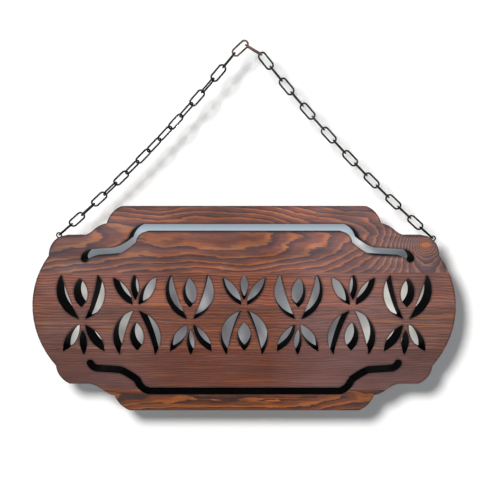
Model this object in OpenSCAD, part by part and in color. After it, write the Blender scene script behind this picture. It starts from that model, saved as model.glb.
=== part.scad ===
// Hanging wooden sign with a scalloped outline
// An edge-glued board is pierced by two framing grooves and a row of tulips. It hangs by
// two screw eyes from a chain of bent wire links that is laid over one nail.
// X runs to the right, Z runs up, and the front face looks towards -Y. The origin is the
// point where the nail touches the inside of the top link.

/* [Board] */
// Overall width of the board
board_w = 500; // [450:1:600]
// Overall height of the board
board_h = 248; // [240:1:290]
// Thickness of the board
board_t = 20; // [15:0.5:30]

/* [Outline] */
// Width of the straight top and bottom edges
ear_w = 280; // [250:1:310]
// Width of the rounded corner beside a straight edge
ear_round_w = 17.5; // [12:0.5:22]
// Height of the rounded corner beside a straight edge
ear_round_h = 19.5; // [14:0.5:24]
// Swell of that rounded corner beyond its chord
ear_round_swell = 3; // [1:0.5:5]
// Width of the wave from the cusp to the shoulder
wave_w = 30.5; // [22:0.5:36]
// Swell of each half of the wave off its chord
wave_swell = 1.2; // [0.4:0.1:2.4]
// Drop from a straight edge to the shoulder
shoulder_drop = 34.3; // [30:0.1:40]
// Width of the rounded corner at the shoulder
corner_w = 15.5; // [12:0.5:20]
// Swell of the shoulder corner beyond its chord
corner_swell = 4; // [2.5:0.1:5]
// Height of the large arc at each side
side_h = 134; // [120:1:146]
// Swell of the large arc at each side
side_swell = 23.5; // [16:0.5:30]

/* [Staves] */
// Width of the top stave
top_stave_w = 77; // [66:0.5:84]
// Height of the seam below the upper stave above the middle of the tulips
middle_seam_rise = 10.5; // [9.5:0.5:11.5]
// Width of the lower stave
lower_stave_w = 52; // [46:0.5:58]
// Width of the bottom stave
bottom_stave_w = 26.5; // [24:0.5:29]

/* [Grooves] */
// Width of the two grooves that frame the ornament
groove_w = 9; // [6:0.5:12]
// Distance from a straight edge to the middle of its groove
groove_inset = 25; // [21:0.5:28]
// Width of the rounded corner of a groove
groove_corner_w = 14; // [11:0.5:17]
// Height of the rounded corner of a groove
groove_corner_h = 14; // [11:0.5:17]
// Swell of that corner beyond its chord
groove_corner_swell = 3; // [1:0.1:4]
// Width of the groove's step down to its side run
groove_wave_w = 20; // [16:0.5:24]
// Height of the groove's step down to its side run
groove_wave_h = 13; // [10:0.5:15]
// Sag of that step below its chord
groove_wave_sag = 0.8; // [0.2:0.1:2.4]
// Length of a groove's side run
groove_run = 26; // [18:0.5:30]
// Extra length of the upper groove's right side run
right_run_extra = 8; // [0:0.5:10]
// Drop of the groove along its side run
groove_run_drop = 2; // [0:0.5:4]
// Width of the hook at the groove's end
groove_hook_w = 10; // [8:0.5:12]
// Height of the hook at the groove's end
groove_hook_h = 6.5; // [5:0.5:8]
// Swell of that hook beyond its chord
groove_hook_swell = 2; // [0.5:0.1:2.5]

/* [Ornament] */
// Number of tulips in the row
tulip_count = 7; // [5:1:7]
// Clear margin between the row of tulips and the widest point of the board
row_margin = 26; // [24:0.5:40]
// Distance from the top seam down to the tips of the tulips
row_drop = 2; // [2:0.5:6]
// Wood left between the feet of the tulips and the ends of the lower groove
row_clearance = 6; // [3:0.5:10]
// Height of a tulip before it is stretched to fill the row
tulip_h = 98; // [92:0.5:104]
// Distance between the outer tips of the two side petals
petal_spread = 42; // [36:0.5:44]
// Height of the side petals
side_petal_h = 54; // [52:0.5:56]
// Swell of the outer edge of a side petal
side_petal_swell = 15; // [12:0.5:15.5]
// Hollow of the inner edge of a side petal
side_petal_hollow = 2; // [0.5:0.1:4]
// Height of the middle petal
middle_petal_h = 35; // [34:0.5:37]
// Distance of the middle petal's tip below the side petals' tips
middle_petal_drop = 5; // [3:0.5:8]
// Width of the middle petal
middle_petal_w = 16; // [12:0.5:17]
// Distance between the tips of the two leaves
leaf_spread = 50; // [44:0.5:52]
// Height of the leaves
leaf_h = 33; // [31:0.5:35]
// Width of a leaf
leaf_w = 12; // [9:0.5:13]
// Height of the stem
stem_h = 31; // [26:0.5:33]
// Width of the stem
stem_w = 9; // [6:0.5:9.5]
// Wood left between the feet of the petals and leaves
bridge = 7; // [6:0.5:9]

/* [Screw eyes] */
// Thickness of the wire of a screw eye
eye_wire = 1.6; // [1.4:0.1:2]
// Radius of the middle line of the ring
eye_r = 2.8; // [2.6:0.1:4]
// Angle from the middle of the left shoulder corner up to its screw eye
left_eye_lean = 20; // [10:1:20]
// Angle from the middle of the right shoulder corner up to its screw eye
right_eye_lean = 8; // [-5:1:15]
// Length of the shank in the wood
shank_l = 16; // [12:0.5:20]
// Length of the point at the shank's end
point_l = 4; // [3:0.5:6]
// Gap in degrees where the ring's wire meets its own neck
ring_open = 28; // [20:1:45]

/* [Chain] */
// Number of links in the curved run on each side
run_links = 16; // [15:1:17]
// Thickness of the wire of a link
wire = 2; // [1.6:0.1:2.2]
// Overall length of a link
link_l = 22.3; // [20.5:0.1:24]
// Overall width of a link
link_w = 10; // [9.4:0.1:12]
// Clearance between two wires that hook into each other
hook_gap = 0.3; // [0.2:0.05:0.4]
// Tilt of the top link above the horizontal
top_tilt = 41; // [36:1:46]
// Slope of the first right link below the horizontal
first_slope = 30; // [26:1:36]
// Change of slope along the run, which makes it sag
run_bend = 10; // [2:0.5:16]
// Turn of the links about their length where a run begins
link_turn = 10; // [-10:1:10]

/* [Hidden] */
// Small length by which a cutting shape passes the wood
over = 1;
// Number of chords in each arc of an outline
arc_steps = 14;
// Number of chords in each arc of a groove
groove_steps = 10;
// Facets of a full circle
round_fn = 48;

// Points of the outline, in the board's own plane with its centre at 0, 0
half_w = board_w / 2;
half_h = board_h / 2;
ear_x = ear_w / 2;
cusp = [ear_x + ear_round_w, half_h - ear_round_h];
shoulder_z = half_h - shoulder_drop;
wave_end = [cusp.x + wave_w, shoulder_z];
wave_middle = (cusp + wave_end) / 2;
hip = [half_w - side_swell, side_h / 2];
shoulder_end = [hip.x - corner_w, shoulder_z];

// Middle line of the right half of the upper groove
groove_z = half_h - groove_inset;
groove_turn = [ear_x - groove_inset, groove_z];
groove_cusp = groove_turn + [groove_corner_w, -groove_corner_h];
groove_foot = groove_cusp + [groove_wave_w, -groove_wave_h];
groove_far = groove_foot + [groove_run, -groove_run_drop];
groove_end = groove_far + [groove_hook_w, -groove_hook_h];

// Row of tulips, between the top seam and the ends of the lower groove
tulip_pitch = (board_w - 2 * row_margin) / tulip_count;
seam_1 = half_h - top_stave_w;
row_top = seam_1 - row_drop;
row_foot = groove_w / 2 - groove_end.y + row_clearance;
row_z = (row_top + row_foot) / 2;
stretch = (row_top - row_foot) / tulip_h;

// Seams below the upper, middle and lower staves
seam_2 = row_z + middle_seam_rise * stretch;
seam_4 = bottom_stave_w - half_h;
seam_3 = seam_4 + lower_stave_w;

// Screw eyes, seated on the rounded shoulder corners at right angles to them
corner_chord = hip - shoulder_end;
corner_r = (pow(norm(corner_chord), 2) / 4 + pow(corner_swell, 2)) / (2 * corner_swell);
corner_out = [-corner_chord.y, corner_chord.x] / norm(corner_chord);
corner_centre = (hip + shoulder_end) / 2 + corner_out * (corner_swell - corner_r);
corner_angle = atan2(corner_out.y, corner_out.x);
left_eye_angle = corner_angle + left_eye_lean;
right_eye_angle = corner_angle + right_eye_lean;
left_eye = [-eye_centre(left_eye_angle).x, eye_centre(left_eye_angle).y];
right_eye = eye_centre(right_eye_angle);
eye_reach = eye_r - eye_wire / 2 - hook_gap / 2;

// Link: its bows, its straight sides and the pitch at which links follow each other
bow_r = (link_w - wire) / 2;
straight_l = link_l - link_w;
pitch = link_l - 2 * wire - hook_gap;
bow_reach = bow_r - wire / 2 - hook_gap / 2;

// Top link, hung on the nail inside its upper bow
top_axis = [cos(top_tilt), sin(top_tilt)];
top_bow = [0, wire / 2 - bow_r];
left_start = top_bow - (straight_l + bow_reach) * top_axis;
first_dir = [cos(first_slope), -sin(first_slope)];
first_start = top_bow + bow_reach * first_dir;
right_start = first_start + pitch * first_dir;

// Run of one side in its own frame: steps of one pitch whose slope eases towards the board
slope_off = [for (i = [1:run_links]) run_bend * (0.5 - (i - 0.5) / run_links)];
run_span = sum_of([
    for (i = [0:run_links - 1])
        (i == run_links - 1 ? pitch + eye_reach : pitch) * [cos(slope_off[i]), -sin(slope_off[i])]
]);
run_chord = norm(run_span);

// Centre of the board, whose two eyes are each one run away from the top of the chain
left_pole = left_start - left_eye;
right_pole = right_start - right_eye;
pole_gap = right_pole - left_pole;
pole_down = [-pole_gap.y, pole_gap.x] / norm(pole_gap);
board_centre = (left_pole + right_pole) / 2
    + pole_down * sqrt(pow(run_chord, 2) - pow(norm(pole_gap) / 2, 2));
left_slope = slope_of(board_centre - left_pole) - slope_of(run_span);
right_slope = slope_of(board_centre - right_pole) - slope_of(run_span);
left_joints = run_points(left_start, -1, left_slope);
right_joints = run_points(right_start, 1, right_slope);

stave_names = ["top_stave", "upper_stave", "middle_stave", "lower_stave", "bottom_stave"];
left_names = [for (i = [1:run_links]) link_name("left", i)];
right_names = [for (i = [1:run_links + 1]) link_name("right", i)];

function link_name(side, i) = str(side, "_link_", i < 10 ? "0" : "", i);
function sum_of(v) = [for (a = v) 1] * v;
function but_last(v) = [for (i = [0:len(v) - 2]) v[i]];
function slope_of(v) = atan2(-v.y, abs(v.x));

// Centre of the ring of an eye on the right corner, with its shank at the given angle
function eye_centre(angle) =
    corner_centre + (corner_r + eye_r + eye_wire / 2) * [cos(angle), sin(angle)];

// Joints of a run from its start, on the left (-1) or right (1), at the given mean slope
function run_points(start, side, slope) = [
    for (
        i = 0, p = start;
        i <= run_links;
        p = p + pitch * [
            side * cos(slope + slope_off[min(i, run_links - 1)]),
            -sin(slope + slope_off[min(i, run_links - 1)])
        ],
        i = i + 1
    ) p
];

// Arc from a to b that swells to the left of its path, or to the right if swell is below 0
function arc(a, b, swell, steps = arc_steps) =
    let (
        chord = b - a,
        along = chord / norm(chord),
        out = [-along.y, along.x],
        half = 2 * atan(2 * swell / norm(chord)),
        r = norm(chord) / (2 * sin(half))
    )
    [
        for (i = [0:steps])
            let (t = half * (2 * i / steps - 1))
            (a + b) / 2 + r * sin(t) * along + r * (cos(t) - cos(half)) * out
    ];

// Mirror images of a path, walked the other way round
function flipped_x(path) = [for (i = [len(path) - 1:-1:0]) [-path[i].x, path[i].y]];
function flipped_z(path) = [for (i = [len(path) - 1:-1:0]) [path[i].x, -path[i].y]];

// Points beside a path at distance d to its left, with mitred corners
function beside(path, d) = [
    for (i = [0:len(path) - 1])
        let (
            back = path[max(i, 1)] - path[max(i, 1) - 1],
            ahead = path[min(i + 1, len(path) - 1)] - path[min(i, len(path) - 2)],
            m = [-back.y, back.x] / norm(back) + [-ahead.y, ahead.x] / norm(ahead)
        )
        path[i] + d * 2 * m / (m * m)
];

// Right half of the outline, from the top edge round to the bottom edge
function outline_quarter() = concat(
    but_last(arc([ear_x, half_h], cusp, ear_round_swell)),
    but_last(arc(cusp, wave_middle, wave_swell)),
    arc(wave_middle, wave_end, -wave_swell),
    but_last(arc(shoulder_end, hip, corner_swell))
);
function outline_half() = concat(
    outline_quarter(),
    arc(hip, [hip.x, -hip.y], side_swell),
    flipped_z(outline_quarter())
);

// Right half of the middle line of the upper groove, with extra length in its side run
function groove_half(extra) = concat(
    but_last(arc(groove_turn, groove_cusp, groove_corner_swell, groove_steps)),
    arc(groove_cusp, groove_foot, -groove_wave_sag, groove_steps),
    arc(groove_far + [extra, 0], groove_end + [extra, 0], groove_hook_swell, groove_steps)
);

module outline() polygon(concat(outline_half(), flipped_x(outline_half())));

module groove(right_extra) {
    path = concat(flipped_x(groove_half(0)), groove_half(right_extra));
    half = groove_w / 2;
    count = len(path);
    sides = concat(beside(path, half), beside(path, -half));
    polygon(sides, [concat([for (i = [0:count - 1]) i], [for (i = [count - 1:-1:0]) count + i])]);
    for (x = [-groove_end.x, groove_end.x + right_extra])
        translate([x, groove_end.y])
            circle(half, $fn = round_fn);
}

// Place of a tulip's point once it is stretched to fill the row
function stretched(x, y) = [x, y * stretch];

// Opening between two tips, with the swell of each of its edges
module petal(a, b, left_swell, right_swell)
    polygon(concat(but_last(arc(a, b, left_swell)), but_last(arc(b, a, right_swell))));

// One tulip, centred on its own middle
module tulip() {
    tip = tulip_h / 2;
    petal_foot = tip - side_petal_h;
    leaf_foot = petal_foot - bridge;
    middle_tip = tip - middle_petal_drop;
    for (side = [0, 1])
        mirror([side, 0]) {
            petal(stretched(petal_spread / 2, tip), stretched(bridge / 2, petal_foot),
                side_petal_swell, -side_petal_hollow);
            petal(stretched(leaf_spread / 2, leaf_foot - leaf_h), stretched(bridge / 2, leaf_foot),
                leaf_w / 2, leaf_w / 2);
        }
    petal(stretched(0, middle_tip), stretched(0, middle_tip - middle_petal_h),
        middle_petal_w / 2, middle_petal_w / 2);
    petal(stretched(0, stem_h - tip), stretched(0, -tip), stem_w / 2, stem_w / 2);
}

// All openings of the board
module openings() {
    groove(right_run_extra);
    mirror([0, 1]) groove(0);
    for (i = [0:tulip_count - 1])
        translate([(i - (tulip_count - 1) / 2) * tulip_pitch, row_z])
            mirror([0, i % 2])
                tulip();
}

// Stands the board's own plane upright at the place where the board hangs
module in_board() translate([board_centre.x, 0, board_centre.y]) rotate([90, 0, 0]) children();

// Wood between two heights of the board
module stave(top, bottom)
    in_board()
        linear_extrude(board_t, center = true)
            difference() {
                intersection() {
                    outline();
                    translate([-half_w - over, bottom]) square([board_w + 2 * over, top - bottom]);
                }
                openings();
            }

module top_stave() {
    color("sienna")
        difference() {
            stave(half_h + over, seam_1);
            in_board() {
                eye_shank(right_eye_angle);
                mirror([1, 0, 0]) eye_shank(left_eye_angle);
            }
        }
}

module upper_stave() color("saddlebrown") stave(seam_1, seam_2);
module middle_stave() color("brown") stave(seam_2, seam_3);
module lower_stave() color("maroon") stave(seam_3, seam_4);
module bottom_stave() color("chocolate") stave(seam_4, -half_h - over);

// Places a screw eye on the right corner, with its shank pointing along X from the ring
module at_eye(angle)
    translate([eye_centre(angle).x, eye_centre(angle).y, 0])
        rotate([0, 0, angle + 180])
            children();

// Rounded neck, shank and point of a screw eye
module eye_shank(angle)
    at_eye(angle)
        rotate([0, 90, 0]) {
            point_start = eye_r + eye_wire / 2 + shank_l - point_l;
            translate([0, 0, eye_r]) {
                sphere(d = eye_wire, $fn = round_fn);
                cylinder(point_start - eye_r, d = eye_wire, $fn = round_fn);
            }
            translate([0, 0, point_start])
                cylinder(point_l, d1 = eye_wire, d2 = 0, $fn = round_fn);
        }

// Ring of a screw eye, bent from its neck round to a small gap
module eye_ring(angle)
    at_eye(angle)
        rotate_extrude(angle = 360 - ring_open, $fn = round_fn)
            translate([eye_r, 0])
                circle(d = eye_wire, $fn = round_fn);

module screw_eye(angle) {
    eye_ring(angle);
    eye_shank(angle);
}

module right_screw_eye() color("dimgray") in_board() screw_eye(right_eye_angle);
module left_screw_eye() color("dimgray") in_board() mirror([1, 0, 0]) screw_eye(left_eye_angle);

// One link in the XZ plane, long side along X
module link_body()
    rotate([90, 0, 0])
        for (side = [-1, 1]) {
            translate([-straight_l / 2, side * bow_r, 0])
                rotate([0, 90, 0])
                    cylinder(straight_l, d = wire, $fn = round_fn);
            translate([side * straight_l / 2, 0, 0])
                rotate([0, 0, -90 * side])
                    rotate_extrude(angle = 180, $fn = round_fn)
                        translate([bow_r, 0])
                            circle(d = wire, $fn = round_fn);
        }

// Link between two joints of the chain, turned about its length
module link_between(a, b, turn)
    color("black")
        translate([(a.x + b.x) / 2, 0, (a.y + b.y) / 2])
            rotate([0, -atan2(b.y - a.y, b.x - a.x), 0])
                rotate([turn, 0, 0])
                    link_body();

// Every second link lies edgewise. A run with an even count of links twists by a quarter turn
// from its first link to its last, so that both ends hook in squarely.
function turn_of(i, count) =
    90 * (i % 2) + link_turn - (count % 2 == 0 ? 90 * (i - 1) / (count - 1) : 0);

module top_link() {
    upper = top_bow + bow_reach * top_axis;
    link_between(left_start, upper, 0);
}

module left_link(i)
    link_between(left_joints[i], left_joints[i - 1], turn_of(i, run_links));

module right_link(i)
    link_between(
        i == 1 ? first_start : right_joints[i - 2],
        i == 1 ? right_start : right_joints[i - 1],
        turn_of(i, run_links + 1)
    );

top_stave();
upper_stave();
middle_stave();
lower_stave();
bottom_stave();
left_screw_eye();
right_screw_eye();
top_link();
for (i = [1:run_links])
    left_link(i);
for (i = [1:run_links + 1])
    right_link(i);
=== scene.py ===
"""Looks of the hanging wooden sign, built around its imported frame.

Lengths named *_MM, those of the wood's figure and all lengths of wave are in millimetres, all
others in metres. Board coordinates start at the board's centre: x to the right, z up, and the
front face at -Y. Colours are linear.
"""
import functools
import math
from dataclasses import dataclass

import bpy
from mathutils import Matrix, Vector


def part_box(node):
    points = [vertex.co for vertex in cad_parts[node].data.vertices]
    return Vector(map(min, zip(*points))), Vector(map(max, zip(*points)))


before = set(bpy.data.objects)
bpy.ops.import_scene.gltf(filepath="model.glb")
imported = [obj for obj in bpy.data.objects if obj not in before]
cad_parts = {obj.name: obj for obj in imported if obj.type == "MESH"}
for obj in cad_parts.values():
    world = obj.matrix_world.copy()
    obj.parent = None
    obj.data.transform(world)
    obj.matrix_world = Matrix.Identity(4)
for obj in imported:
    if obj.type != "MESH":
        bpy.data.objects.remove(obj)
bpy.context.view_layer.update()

MM_PER_M = 1000.0
STAVES = ["top_stave", "upper_stave", "middle_stave", "lower_stave", "bottom_stave"]
# Links that get brownish patches
BROWNISH_LINKS = ("top_link", "right_link_01")

# Places of the camera and the key lamp, from the board's centre
TO_CAMERA = Vector((0.0069, -0.4566, 0.1307))
TO_KEY_LAMP = TO_CAMERA + Vector((-0.106, 0.0, 0.105))


def board_box():
    """The board's centre and its size, from the boxes of its staves."""
    boxes = [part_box(name) for name in STAVES]
    low = Vector(min(b[0][i] for b in boxes) for i in range(3))
    high = Vector(max(b[1][i] for b in boxes) for i in range(3))
    return (low + high) / 2, high - low


BOARD, BOARD_SIZE = board_box()


# Node graphs

class Graph:
    """The node tree of a material, world or lamp, with short calls that add and link nodes."""

    def __init__(self, owner):
        self.owner = owner
        owner.use_nodes = True
        self.tree = owner.node_tree
        self.tree.nodes.clear()

    def feed(self, socket, value):
        """Links a socket to another node's output, or sets its constant."""
        if isinstance(value, bpy.types.NodeSocket):
            self.tree.links.new(value, socket)
        else:
            socket.default_value = value

    def add(self, kind, inputs=None, **settings):
        """Adds a shader node whose inputs are given by name or by index."""
        node = self.tree.nodes.new("ShaderNode" + kind)
        for key, value in settings.items():
            setattr(node, key, value)
        for key, value in (inputs or {}).items():
            self.feed(node.inputs[key], value)
        return node

    def output(self, shader, kind="OutputMaterial"):
        """Ends the tree with its output node, and returns its owner."""
        self.add(kind, {"Surface": shader})
        return self.owner

    def calc(self, operation, *values):
        node = self.add("Math", operation=operation)
        for socket, value in zip(node.inputs, values):
            self.feed(socket, value)
        return node.outputs[0]

    def total(self, *values):
        return functools.reduce(functools.partial(self.calc, "ADD"), values)

    def product(self, *values):
        return functools.reduce(functools.partial(self.calc, "MULTIPLY"), values)

    def distance(self, a, b):
        """Length of the hypotenuse over a and b."""
        return self.calc("SQRT", self.total(self.product(a, a), self.product(b, b)))

    def spread(self, value, low, high, out_low=0.0, out_high=1.0):
        """Maps low..high to out_low..out_high, held at both ends."""
        return self.add("MapRange", {0: value, 1: low, 2: high, 3: out_low, 4: out_high}).outputs[0]

    def fade(self, value, low, high, strength=1.0):
        """The whole strength up to low, and nothing from high on."""
        return self.spread(value, low, high, strength, 0.0)

    def noise(self, place, wave, seed, detail):
        """Noise with its own length of wave along each axis, in the units of place."""
        stretch = [1 / length for length in wave]
        offset = (seed, 2.3 * seed, 3.1 * seed)
        stretched = self.add("VectorMath", {0: place, 1: stretch}, operation="MULTIPLY").outputs[0]
        moved = self.add("VectorMath", {0: stretched, 1: offset}, operation="ADD").outputs[0]
        inputs = {"Vector": moved, "Scale": 1.0, "Detail": detail, "Roughness": 0.5}
        return self.add("TexNoise", inputs).outputs["Fac"]

    def ramp(self, value, stops):
        """Colour ramp from a list of (place, colour)."""
        node = self.add("ValToRGB", {0: value})
        elements = node.color_ramp.elements
        while len(elements) < len(stops):
            elements.new(0.5)
        for element, (place, colour) in zip(elements, stops):
            element.position = place
            element.color = (*colour, 1.0)
        return node.outputs[0]

    def blend(self, kind, factor, a, b):
        """Mixes two colours."""
        node = self.add("Mix", data_type="RGBA", blend_type=kind)
        for index, value in ((0, factor), (6, a), (7, b)):
            self.feed(node.inputs[index], (*value, 1.0) if isinstance(value, tuple) else value)
        return node.outputs[2]

    def shade(self, colour, value):
        """A colour made lighter or darker by a value."""
        tone = self.add("CombineXYZ", {0: value, 1: value, 2: value}).outputs[0]
        return self.blend("MULTIPLY", 1.0, colour, tone)

    def bump(self, height, strength, depth):
        inputs = {"Height": height, "Strength": strength, "Distance": depth}
        return self.add("Bump", inputs).outputs[0]

    def skin(self, colour, roughness, normal, specular, metallic=0.0):
        """Opaque surface, as the finished material."""
        node = self.add("BsdfPrincipled", {
            "Base Color": colour, "Roughness": roughness, "Normal": normal,
            "Specular IOR Level": specular, "Metallic": metallic})
        return self.output(node.outputs[0])

    def board_place(self):
        """Place in board coordinates, in millimetres."""
        place = self.add("TexCoord").outputs["Object"]
        inputs = {0: place, 1: BOARD}
        from_board = self.add("VectorMath", inputs, operation="SUBTRACT").outputs[0]
        inputs = {0: from_board, "Scale": MM_PER_M}
        return self.add("VectorMath", inputs, operation="SCALE").outputs[0]

    def split(self, vector):
        return tuple(self.add("SeparateXYZ", {0: vector}).outputs)


# Wood

@dataclass
class WoodLook:
    """Figure and colours of a stave. Lengths are in millimetres; a strength of 0 is nothing."""
    seed: float
    pith_height: float    # of the rings' centre, over the board's middle
    pith_distance: float  # of the rings' centre, in front of the board's middle
    spacing: float        # from ring to ring
    dark: tuple
    mid: tuple
    bright: tuple
    lean: float           # change of the pith's distance along the stave, per millimetre
    wander: float         # of the pith up and down
    contrast: float       # of the rings; at 1 their colours are as given
    grey: float           # strength of the greyish patches, a painted sheen
    dull: float           # strength of the dull stretches
    streaks: float        # strength of the long streaks
    painted_end_haze: float           # strength of the painted haze of reflected light that makes the ends darker and greyer
    painted_reflection: float           # strength of the painted reflection, a milky sheen
    roll: float = 8.0     # of the pith towards the board and away from it
    swell_mm: float = 150.0  # length of wave of the roll along the stave
    waver: float = 1.1    # of the rings, in rings
    knot: bool = False


WOOD_LOOKS = {
    "top_stave": WoodLook(
        seed=7.7, pith_height=84.0, pith_distance=60.0, spacing=3.5, lean=0.02, wander=16.0,
        roll=15.0, swell_mm=240.0, waver=0.8, knot=True,
        dark=(0.122, 0.050, 0.045), mid=(0.243, 0.080, 0.052), bright=(0.475, 0.150, 0.060),
        contrast=1.0, grey=0.9, dull=0.9, streaks=0.25, painted_end_haze=1.0, painted_reflection=1.1),
    "upper_stave": WoodLook(
        seed=31.6, pith_height=210.0, pith_distance=60.0, spacing=3.3, lean=0.0, wander=5.0,
        dark=(0.138, 0.044, 0.028), mid=(0.258, 0.075, 0.044), bright=(0.385, 0.116, 0.058),
        contrast=0.95, grey=0.7, dull=0.5, streaks=0.75, painted_end_haze=0.6, painted_reflection=1.15),
    "middle_stave": WoodLook(
        seed=12.4, pith_height=-260.0, pith_distance=50.0, spacing=3.6, lean=0.02, wander=6.0,
        dark=(0.100, 0.037, 0.024), mid=(0.172, 0.054, 0.033), bright=(0.278, 0.087, 0.044),
        contrast=0.9, grey=0.7, dull=0.4, streaks=0.55, painted_end_haze=0.5, painted_reflection=1.0),
    "lower_stave": WoodLook(
        seed=18.9, pith_height=240.0, pith_distance=40.0, spacing=3.0, lean=-0.015, wander=6.0,
        dark=(0.094, 0.023, 0.012), mid=(0.123, 0.034, 0.019), bright=(0.162, 0.055, 0.038),
        contrast=0.8, grey=0.8, dull=0.3, streaks=0.2, painted_end_haze=0.6, painted_reflection=0.8),
    "bottom_stave": WoodLook(
        seed=25.3, pith_height=-108.0, pith_distance=30.0, spacing=2.9, lean=0.03, wander=9.0,
        roll=7.0, waver=0.9,
        dark=(0.036, 0.008, 0.004), mid=(0.155, 0.040, 0.013), bright=(0.335, 0.094, 0.021),
        contrast=1.0, grey=0.25, dull=0.7, streaks=0.4, painted_end_haze=0.2, painted_reflection=0.2),
}

# Noises: length of wave along x, y and z in millimetres, what is added to the seed, and detail
PITH_NOISE = (230, 110, 110), 0, 2
RING_WAVER_NOISE = (48, 14, 14), 80, 2
RING_FRAY_NOISE = (11, 1.3, 1.3), 60, 2
DULL_NOISE = (95, 17, 17), 50, 2
STREAK_NOISE = (85, 2.6, 2.6), 30, 1
FIBRE_NOISE = (22, 0.7, 0.7), 5, 3
PORE_NOISE = (7, 0.28, 0.28), 6, 1
PATCH_NOISE = (70, 24, 24), 9, 3
GREY_NOISE = (38, 13, 13), 70, 4
SWELL_ACROSS_MM = 400
SWELL_SEED, SWELL_DETAIL = 40, 2
RING_FRAY = 0.2

# Range of a noise's values over which its effect sets in. Nearly all values lie in COMMON.
COMMON = (0.3, 0.7)
DULL_FROM = (0.42, 0.58)
ORANGE_FROM = (0.60, 0.70)
DARK_STREAK_FROM = (0.30, 0.40)
GREY_FROM = (0.40, 0.64)
FIBRE_FROM = (0.25, 0.75)
PORES_FROM = (0.62, 0.80)

# How much darker or lighter these make the wood, and how much height they take or give
FIBRE_TONE, PATCH_TONE, PORE_TONE = 0.24, 0.20, -0.30
FIBRE_HEIGHT, PORE_HEIGHT = 0.7, -0.8

# Where along a ring the wood rises to a ridge, and where and by how much it turns glossier
RIDGE_FROM = (0.45, 0.85)
GLOSS_FROM = (0.5, 0.9)
RING_GLOSS = 0.04

# Roughness from fibre to fibre
WOOD_ROUGHNESS = (0.40, 0.52)

# Stretches of a ring that have one tone, before the next ring starts with the dark one again
DARK_BAND, MID_BAND, BRIGHT_BAND = (0.0, 0.14), (0.38, 0.60), (0.78, 0.95)

# Knot: centre as x and z, how much its rings are wider than high, how many rings it adds, and how
# fast they thin out per millimetre
KNOT_MM = (210.0, 79.5)
KNOT_FLATNESS = 1.15
KNOT_RINGS = 18.0
KNOT_THINNING = 0.027

# The knot's heart is an oval, because distances along the board count less in it, by this factor.
# It fades out over these distances.
HEART_LENGTH = 0.55
HEART_EDGE_MM = (2.2, 4.2)

# Colours that are mixed in, and tints that the stain is multiplied by. The grey tint paints a
# patchy sheen, the ends' tint a haze of reflected light, and the milky colour a reflection.
HEART_COLOUR = (0.52, 0.17, 0.06)
ORANGE_STREAK_COLOUR = (0.40, 0.125, 0.040)
DARK_STREAK_TINT = (0.62, 0.62, 0.66)
DULL_TINT = (0.58, 0.60, 0.66)
GREY_TINT = (0.90, 1.13, 1.42)
END_HAZE_TINT = (0.76, 0.96, 1.16)
PAINTED_REFLECTION_COLOUR = (0.038, 0.041, 0.050)
RIM_COLOUR = (0.020, 0.012, 0.012)

# Distances from the middle over which the painted haze of the ends sets in
END_HAZE_MM = (105, 205)

# Painted reflection, a milky sheen, at each side: the stretch over which it sets in and its
# strength from there on, and the stretch further out over which it falls off and the part of the
# strength that is left
REFLECTION_RIGHT_MM, REFLECTION_RIGHT = (30, 95), 1.0
REFLECTION_RIGHT_END_MM, REFLECTION_RIGHT_END = (130, 235), 0.35
REFLECTION_LEFT_MM, REFLECTION_LEFT = (-140, -75), 0.5
REFLECTION_LEFT_END_MM, REFLECTION_LEFT_END = (-240, -175), 0.5
REFLECTION_UNEVENNESS = (0.75, 1.25)

# Dark rim: its width, the openness over which it fades out, its strength, and the distances from
# a seam over which it sets in
RIM_WIDTH = 0.003
RIM_OPENNESS = (0.60, 0.97)
RIM_STRENGTH = 0.75
SEAM_CLEAR_MM = (3.0, 3.4)


def seams_mm(stave):
    """Heights of the glued seams above and below a stave, from the board's centre."""
    low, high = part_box(stave)
    inner = [(z - BOARD.z) * MM_PER_M for z in (low[2], high[2])]
    board_edge = BOARD_SIZE.z / 2 * MM_PER_M - 1
    return [z for z in inner if abs(z) < board_edge]


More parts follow.
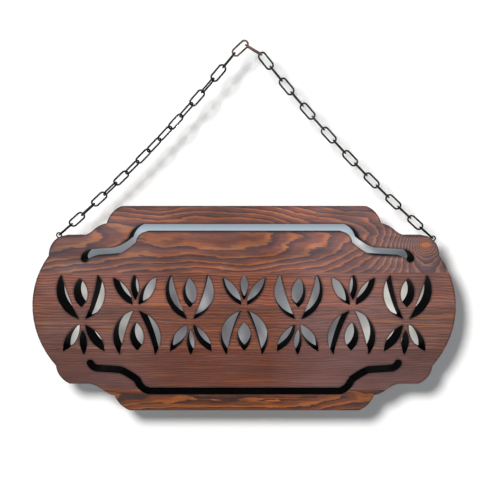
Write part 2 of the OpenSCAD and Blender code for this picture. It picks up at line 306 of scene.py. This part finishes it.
class Wood(Graph):
    """Stained and varnished softwood whose growth rings are cut lengthwise by the face."""

    def __init__(self, stave, look):
        super().__init__(bpy.data.materials.new(stave + "_wood"))
        self.stave = stave
        self.look = look
        self.place = self.board_place()
        self.x, self.y, self.z = self.split(self.place)
        self.fibre = self.wave(FIBRE_NOISE)
        self.pores = self.wave(PORE_NOISE)
        self.patch = self.wave(PATCH_NOISE)

    def wave(self, settings):
        length, seed, detail = settings
        return self.noise(self.place, length, self.look.seed + seed, detail)

    def swing(self, noise, reach):
        """A noise as a value between -reach and reach."""
        return self.spread(noise, 0, 1, -reach, reach)

    def from_knot(self):
        """Sideways and upright distances from the knot."""
        dx = self.total(self.x, -KNOT_MM[0])
        dz = self.product(self.total(self.z, -KNOT_MM[1]), KNOT_FLATNESS)
        return dx, dz

    def ring(self):
        """How far a place is from one ring's start to the next, from 0 to 1.

        The rings run round a pith that lies in front of the board and wanders along the stave.
        """
        look = self.look
        swell = (look.swell_mm, SWELL_ACROSS_MM, SWELL_ACROSS_MM), SWELL_SEED, SWELL_DETAIL
        across = self.total(self.z, -look.pith_height,
                            self.swing(self.wave(PITH_NOISE), look.wander))
        depth = self.total(self.y, look.pith_distance, self.product(self.x, look.lean),
                           self.swing(self.wave(swell), look.roll))
        rings = self.total(self.calc("DIVIDE", self.distance(across, depth), look.spacing),
                           self.swing(self.wave(RING_WAVER_NOISE), look.waver),
                           self.swing(self.wave(RING_FRAY_NOISE), RING_FRAY))
        if look.knot:
            away = self.distance(*self.from_knot())
            near = self.calc("EXPONENT", self.product(away, -KNOT_THINNING))
            rings = self.total(rings, self.product(near, KNOT_RINGS))
        return self.calc("FRACT", rings)

    def grain(self, ring):
        """Colours of the rings, with dull stretches and some long orange and dark streaks."""
        look = self.look
        bands = (DARK_BAND, look.dark), (MID_BAND, look.mid), (BRIGHT_BAND, look.bright)
        stops = [(place, tone) for band, tone in bands for place in band]
        colour = self.ramp(ring, [*stops, (1.0, look.dark)])
        colour = self.blend("MIX", 1 - look.contrast, colour, look.mid)
        dull = self.fade(self.wave(DULL_NOISE), *DULL_FROM, look.dull)
        colour = self.blend("MULTIPLY", dull, colour, DULL_TINT)
        streak = self.wave(STREAK_NOISE)
        orange = self.spread(streak, *ORANGE_FROM, 0.0, look.streaks)
        colour = self.blend("MIX", orange, colour, ORANGE_STREAK_COLOUR)
        dark = self.fade(streak, *DARK_STREAK_FROM, look.streaks)
        return self.blend("MULTIPLY", dark, colour, DARK_STREAK_TINT)

    def stain_and_sheen(self, colour):
        """Fibres, pores, lighter and darker patches, greyer patches of painted sheen, and the
        painted haze of the ends.
        """
        tone = self.total(self.spread(self.fibre, *FIBRE_FROM, -FIBRE_TONE, FIBRE_TONE),
                          self.spread(self.patch, *COMMON, -PATCH_TONE, PATCH_TONE),
                          self.spread(self.pores, *PORES_FROM, 0.0, PORE_TONE), 1.0)
        colour = self.shade(colour, tone)
        grey = self.spread(self.wave(GREY_NOISE), *GREY_FROM, 0.0, self.look.grey)
        colour = self.blend("MULTIPLY", grey, colour, GREY_TINT)
        # The ends get a painted haze of reflected light, darker and greyer
        painted_end_haze = self.spread(self.calc("ABSOLUTE", self.x), *END_HAZE_MM, 0.0, self.look.painted_end_haze)
        return self.blend("MULTIPLY", painted_end_haze, colour, END_HAZE_TINT)

    def paint_reflection(self, colour):
        """A painted reflection, a milky sheen, broad at the right of the middle and weaker at the
        left.
        """
        right = self.product(self.spread(self.x, *REFLECTION_RIGHT_MM, 0.0, REFLECTION_RIGHT),
                             self.spread(self.x, *REFLECTION_RIGHT_END_MM, 1.0, REFLECTION_RIGHT_END))
        left = self.product(self.fade(self.x, *REFLECTION_LEFT_MM, REFLECTION_LEFT),
                            self.spread(self.x, *REFLECTION_LEFT_END_MM, REFLECTION_LEFT_END, 1.0))
        weak, strong = (part * self.look.painted_reflection for part in REFLECTION_UNEVENNESS)
        uneven = self.spread(self.patch, *COMMON, weak, strong)
        painted_reflection = self.product(self.total(right, left), uneven)
        return self.blend("ADD", painted_reflection, colour, PAINTED_REFLECTION_COLOUR)

    def heart(self, colour):
        """The bright oval heart of the knot."""
        dx, dz = self.from_knot()
        off_heart = self.distance(self.product(dx, HEART_LENGTH), dz)
        return self.blend("MIX", self.fade(off_heart, *HEART_EDGE_MM), colour, HEART_COLOUR)

    def rim(self, colour):
        """Dark stain that gathers on the rim of the face, but not along the glued seams."""
        openness = self.add("AmbientOcclusion", {"Distance": RIM_WIDTH}, inside=True,
                            only_local=True, samples=6).outputs["AO"]
        rim = self.fade(openness, *RIM_OPENNESS, RIM_STRENGTH)
        for height_mm in seams_mm(self.stave):
            off_seam = self.calc("ABSOLUTE", self.total(self.z, -height_mm))
            rim = self.product(rim, self.spread(off_seam, *SEAM_CLEAR_MM))
        return self.blend("MIX", rim, colour, RIM_COLOUR)

    def finish(self):
        """The material, with its relief and gloss."""
        ring = self.ring()
        colour = self.paint_reflection(self.stain_and_sheen(self.grain(ring)))
        if self.look.knot:
            colour = self.heart(colour)
        height = self.total(self.spread(ring, *RIDGE_FROM),
                            self.spread(self.fibre, *COMMON, 0.0, FIBRE_HEIGHT),
                            self.spread(self.pores, *PORES_FROM, 0.0, PORE_HEIGHT))
        roughness = self.total(self.spread(self.fibre, *COMMON, *WOOD_ROUGHNESS),
                               self.spread(ring, *GLOSS_FROM, RING_GLOSS, -RING_GLOSS))
        relief = self.bump(height, strength=0.35, depth=0.0003)
        return self.skin(self.rim(colour), roughness, relief, specular=0.18)


# Sawn edges and steel

# Lengths of wave of the brush marks, of the rubbed patches, of the steel's patches and of its grit
BRUSH_MM = (1.2, 9, 1.2)
RUBBED_MM = (14, 14, 14)
STEEL_PATCH_MM = (6, 6, 6)
GRIT_MM = (0.5, 0.5, 0.5)

# Range of the noise over which the rubbed patches set in, their strength, and that of the steel's
# patches
RUBBED_FROM = (0.52, 0.75)
RUBBED, STEEL_PATCHES = 0.6, 0.85

EDGE_ROUGHNESS = (0.42, 0.60)
STEEL_ROUGHNESS = (0.28, 0.46)
BLACKENED = (0.004, 0.004, 0.006)


def painted(name, base, patch_colour, seed):
    """Brushed dark paint or stain on sawn edges, rubbed a little towards another colour."""
    g = Graph(bpy.data.materials.new(name))
    place = g.board_place()
    brush = g.noise(place, BRUSH_MM, seed, detail=3)
    patch = g.noise(place, RUBBED_MM, seed + 3, detail=4)
    colour = g.blend("MIX", g.spread(patch, *RUBBED_FROM, 0.0, RUBBED), base, patch_colour)
    roughness = g.spread(brush, *COMMON, *EDGE_ROUGHNESS)
    relief = g.bump(brush, strength=0.4, depth=0.0003)
    return g.skin(colour, roughness, relief, specular=0.02)


def steel(name, patch_colour, patched_from, seed):
    """Blackened steel wire, patched with another colour. A lower range of the noise gives more
    patches.
    """
    g = Graph(bpy.data.materials.new(name))
    place = g.board_place()
    cloud = g.noise(place, STEEL_PATCH_MM, seed, detail=4)
    grit = g.noise(place, GRIT_MM, seed + 2, detail=2)
    patched = g.spread(cloud, *patched_from, 0.0, STEEL_PATCHES)
    colour = g.blend("MIX", patched, BLACKENED, patch_colour)
    roughness = g.spread(cloud, *COMMON, *STEEL_ROUGHNESS)
    relief = g.bump(grit, strength=0.3, depth=0.0001)
    return g.skin(colour, roughness, relief, specular=0.2, metallic=0.4)


# Material slots of a stave. A sawn wall is the board's outer edge where it lies beyond one of
# these pairs of half width and half height, else it is the wall of an opening.
FACE, OPENING, OUTER_EDGE = range(3)
BOARD_STEPS_MM = ((0, 123.5), (139, 89), (210, 66), (228, 0))


def slot(face):
    """Slot of a face of a stave: its flat face, a wall of an opening, or the outer edge."""
    if abs(face.normal.y) > 0.5:
        return FACE
    x = abs(face.center.x - BOARD.x) * MM_PER_M
    z = abs(face.center.z - BOARD.z) * MM_PER_M
    outer = any(x >= width and z >= height for width, height in BOARD_STEPS_MM)
    return OUTER_EDGE if outer else OPENING


kerf_paint = painted("black_kerf", (0.001, 0.001, 0.0015), (0.006, 0.004, 0.004), seed=2.0)
edge_stain = painted("dark_edge", (0.022, 0.013, 0.012), (0.055, 0.028, 0.022), seed=6.0)

for stave in STAVES:
    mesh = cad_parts[stave].data
    mesh.materials.clear()
    for material in (Wood(stave, WOOD_LOOKS[stave]).finish(), kerf_paint, edge_stain):
        mesh.materials.append(material)
    for face in mesh.polygons:
        face.material_index = slot(face)

# Black links; the top link and the first link on the right get brownish patches
black_steel = steel("black_steel", (0.05, 0.045, 0.05), patched_from=(0.56, 0.76), seed=4.0)
brownish_steel = steel("brownish_steel", (0.16, 0.085, 0.07), patched_from=(0.32, 0.60), seed=9.0)
for name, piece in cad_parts.items():
    if name not in STAVES:
        piece.data.materials.clear()
        piece.data.materials.append(brownish_steel if name in BROWNISH_LINKS else black_steel)
        for face in piece.data.polygons:
            face.use_smooth = True


# Stage: a wall behind the board and a floor far below

# From the board's back to the wall, from its centre down to the floor, and how far the stage
# goes to each side, up and forwards
WALL_GAP = 0.060
FLOOR_DROP = 1.0
REACH = 5.0

# The wall glows behind the board. Places are those on the board's front that the camera sees in
# line with it: half widths and half heights over which the glow fades out in the board's tall
# middle and in its long waist.
TALL_GLOW_MM = (118, 138), (104, 122)
LONG_GLOW_MM = (196, 220), (68, 88)

# Colours of the glow in the ornament row, at the row's ends and in the upper groove
ROW_GLOW = (0.148, 0.158, 0.172)
ROW_END_GLOW = (0.48, 0.47, 0.43)
GROOVE_GLOW = (0.14, 0.175, 0.203)

# Half widths over which the ends' colour sets in and half heights over which it fades out, and
# heights over which the groove's colour and its strength set in
ROW_END_MM = (95, 190), (50, 68)
GROOVE_COLOUR_FROM_MM = (48, 74)
GROOVE_LEVEL_FROM_MM = (72, 94)

# Strength of the glow: cloudy in the row, and less from the groove's lower edge to its top
ROW_LEVELS = (0.60, 1.62)
CLOUD_MM = (62, 90, 55)
CLOUD_FROM = (0.32, 0.68)
GROOVE_LEVELS = (2.9, 1.5)
GROOVE_TOP_MM = (96, 105)

# Darker paint of the wall where it glows, a painted shade that keeps light through the openings dim
SHADED_WHITE = (0.25, 0.25, 0.25)


def seen(g):
    """1 for rays that show the stage itself: camera, mirror and glass rays."""
    path = g.add("LightPath").outputs
    return g.calc("MAXIMUM", path["Is Camera Ray"],
                  g.calc("MAXIMUM", path["Is Glossy Ray"], path["Is Transmission Ray"]))


def on_front(g, wall_mm, camera):
    """Where the camera sees a place on the wall on the board's front, along x or along z."""
    to_front = -TO_CAMERA.y - BOARD_SIZE.y / 2
    ratio = to_front / (to_front + BOARD_SIZE.y + WALL_GAP)
    camera_mm = camera * MM_PER_M
    return g.total(g.product(g.total(wall_mm, -camera_mm), ratio), camera_mm)


def inner_glow(g):
    """Where the wall glows behind the board, from 0 to 1, and the colour of the glow."""
    place = g.board_place()
    x, _, z = g.split(place)
    high = on_front(g, z, TO_CAMERA.z)
    wide = g.calc("ABSOLUTE", on_front(g, x, TO_CAMERA.x))
    off_middle = g.calc("ABSOLUTE", high)
    tall, long = (g.product(g.fade(wide, *widths), g.fade(off_middle, *heights))
                  for widths, heights in (TALL_GLOW_MM, LONG_GLOW_MM))

    end_widths, end_heights = ROW_END_MM
    at_end = g.product(g.spread(wide, *end_widths), g.fade(off_middle, *end_heights))
    row = g.blend("MIX", at_end, ROW_GLOW, ROW_END_GLOW)
    colour = g.blend("MIX", g.spread(high, *GROOVE_COLOUR_FROM_MM), row, GROOVE_GLOW)

    cloud = g.noise(place, CLOUD_MM, seed=11.0, detail=2)
    row_level = g.spread(cloud, *CLOUD_FROM, *ROW_LEVELS)
    groove_level = g.spread(high, *GROOVE_TOP_MM, *GROOVE_LEVELS)
    in_groove = g.spread(high, *GROOVE_LEVEL_FROM_MM)
    level = g.add("Mix", {0: in_groove, 2: row_level, 3: groove_level}).outputs[0]
    return g.calc("MAXIMUM", tall, long), g.shade(colour, level)


def stage_material(name, bounce, glow):
    """Pale matt paint. It is open from behind and to light, so that the sign's back is lit too.

    A soft glow, lost in the white where the wall is lit, lifts the shade behind the openings, where
    the paint is darker as painted shade.
    The bounce is how much light the paint throws on the sign.
    """
    g = Graph(bpy.data.materials.new(name))
    inside, inner_colour = inner_glow(g)
    glow_colour = g.blend("MIX", inside, (glow, glow, glow), inner_colour)
    light = g.add("Emission", {"Color": glow_colour, "Strength": 1.0}).outputs[0]
    paint_and_shade_colour = g.blend("MIX", inside, (1.0, 1.0, 1.0), SHADED_WHITE)
    paint = g.add("BsdfDiffuse", {"Color": paint_and_shade_colour}).outputs[0]
    shown = g.add("AddShader", {0: paint, 1: light}).outputs[0]
    plain = g.add("BsdfDiffuse", {"Color": (bounce, bounce, bounce, 1.0)}).outputs[0]
    solid = g.add("MixShader", {0: seen(g), 1: plain, 2: shown}).outputs[0]
    is_open = g.calc("MAXIMUM", g.add("NewGeometry").outputs["Backfacing"],
                     g.add("LightPath").outputs["Is Shadow Ray"])
    clear = g.add("BsdfTransparent").outputs[0]
    return g.output(g.add("MixShader", {0: is_open, 1: solid, 2: clear}).outputs[0])


def add_object(name, data):
    piece = bpy.data.objects.new(name, data)
    bpy.context.scene.collection.objects.link(piece)
    return piece


def sheet(name, corners, material):
    """A flat sheet of the stage that faces the side its corners run round anticlockwise."""
    mesh = bpy.data.meshes.new(name)
    mesh.from_pydata(corners, [], [(0, 1, 2, 3)])
    mesh.materials.append(material)
    piece = add_object(name, mesh)


wall_y = BOARD.y + BOARD_SIZE.y / 2 + WALL_GAP
floor_z = BOARD.z - FLOOR_DROP
sheet("wall", [(-REACH, wall_y, floor_z), (REACH, wall_y, floor_z), (REACH, wall_y, REACH),
               (-REACH, wall_y, REACH)], stage_material("pale_wall", bounce=0.5, glow=0.06))
sheet("floor", [(-REACH, wall_y, floor_z), (-REACH, -REACH, floor_z), (REACH, -REACH, floor_z),
                (REACH, wall_y, floor_z)], stage_material("pale_floor", bounce=0.05, glow=0.3))


# Light

AMBIENT_COLOUR = (0.88, 0.95, 1.0, 1.0)
AMBIENT_LEVEL = 0.27
WHITE = (1.0, 1.0, 1.0, 1.0)
KEY_COLOUR = (1.0, 0.985, 0.96)
KEY_LEVEL = 2.15
KEY_RADIUS = 0.042
BACK_LEVEL = 1.4

world = Graph(bpy.data.worlds.new("studio"))
ambient = world.add("Background", {"Color": AMBIENT_COLOUR, "Strength": AMBIENT_LEVEL}).outputs[0]
white = world.add("Background", {"Color": WHITE, "Strength": 1.0}).outputs[0]
either = world.add("MixShader", {0: seen(world), 1: ambient, 2: white}).outputs[0]
bpy.context.scene.world = world.output(either, "OutputWorld")

# A round lamp beside the camera, as far from the board as the camera is. Its strength grows with
# the cube of the distance, so that the whole board and wall are lit evenly.
key_to_front = -TO_KEY_LAMP.y - BOARD_SIZE.y / 2
key_data = bpy.data.lights.new("key", "POINT")
key_data.energy = KEY_LEVEL * 4 * math.pi * key_to_front ** 2
key_data.shadow_soft_size = KEY_RADIUS
key_data.color = KEY_COLOUR
key = Graph(key_data)
span = key.calc("DIVIDE", key.add("LightPath").outputs["Ray Length"], key_to_front)
even = key.calc("POWER", span, 3.0)
key.output(key.add("Emission", {"Color": WHITE, "Strength": even}).outputs[0], "OutputLight")
key_lamp = add_object("key", key_data)
key_lamp.location = BOARD + TO_KEY_LAMP
key_lamp.visible_camera = False

# A light from straight behind, which only the sign's back catches
back_data = bpy.data.lights.new("back", "SUN")
back_data.energy = BACK_LEVEL
back_data.angle = 0.0
back_light = add_object("back", back_data)
back_light.rotation_euler = Vector((0.0, 1.0, 0.0)).to_track_quat("Z", "Y").to_euler()
back_light.location = BOARD + Vector((0.0, 1.0, 0.0))


# Camera: close to the board and above its middle, looking slightly down

FOCAL_PX = 389.0
FRAME_PX = 500.0
SENSOR_MM = 36.0
LOOK_DOWN_DEGREES = 7.3

camera_data = bpy.data.cameras.new("camera")
camera_data.sensor_width = SENSOR_MM
camera_data.lens = SENSOR_MM * FOCAL_PX / FRAME_PX
camera_data.clip_start = 0.01
camera_data.clip_end = 50.0
camera = add_object("camera", camera_data)
camera.location = BOARD + TO_CAMERA
camera.rotation_euler = (math.radians(90 - LOOK_DOWN_DEGREES), 0.0, 0.0)
bpy.context.scene.camera = camera
bpy.context.scene.view_settings.view_transform = "Standard"
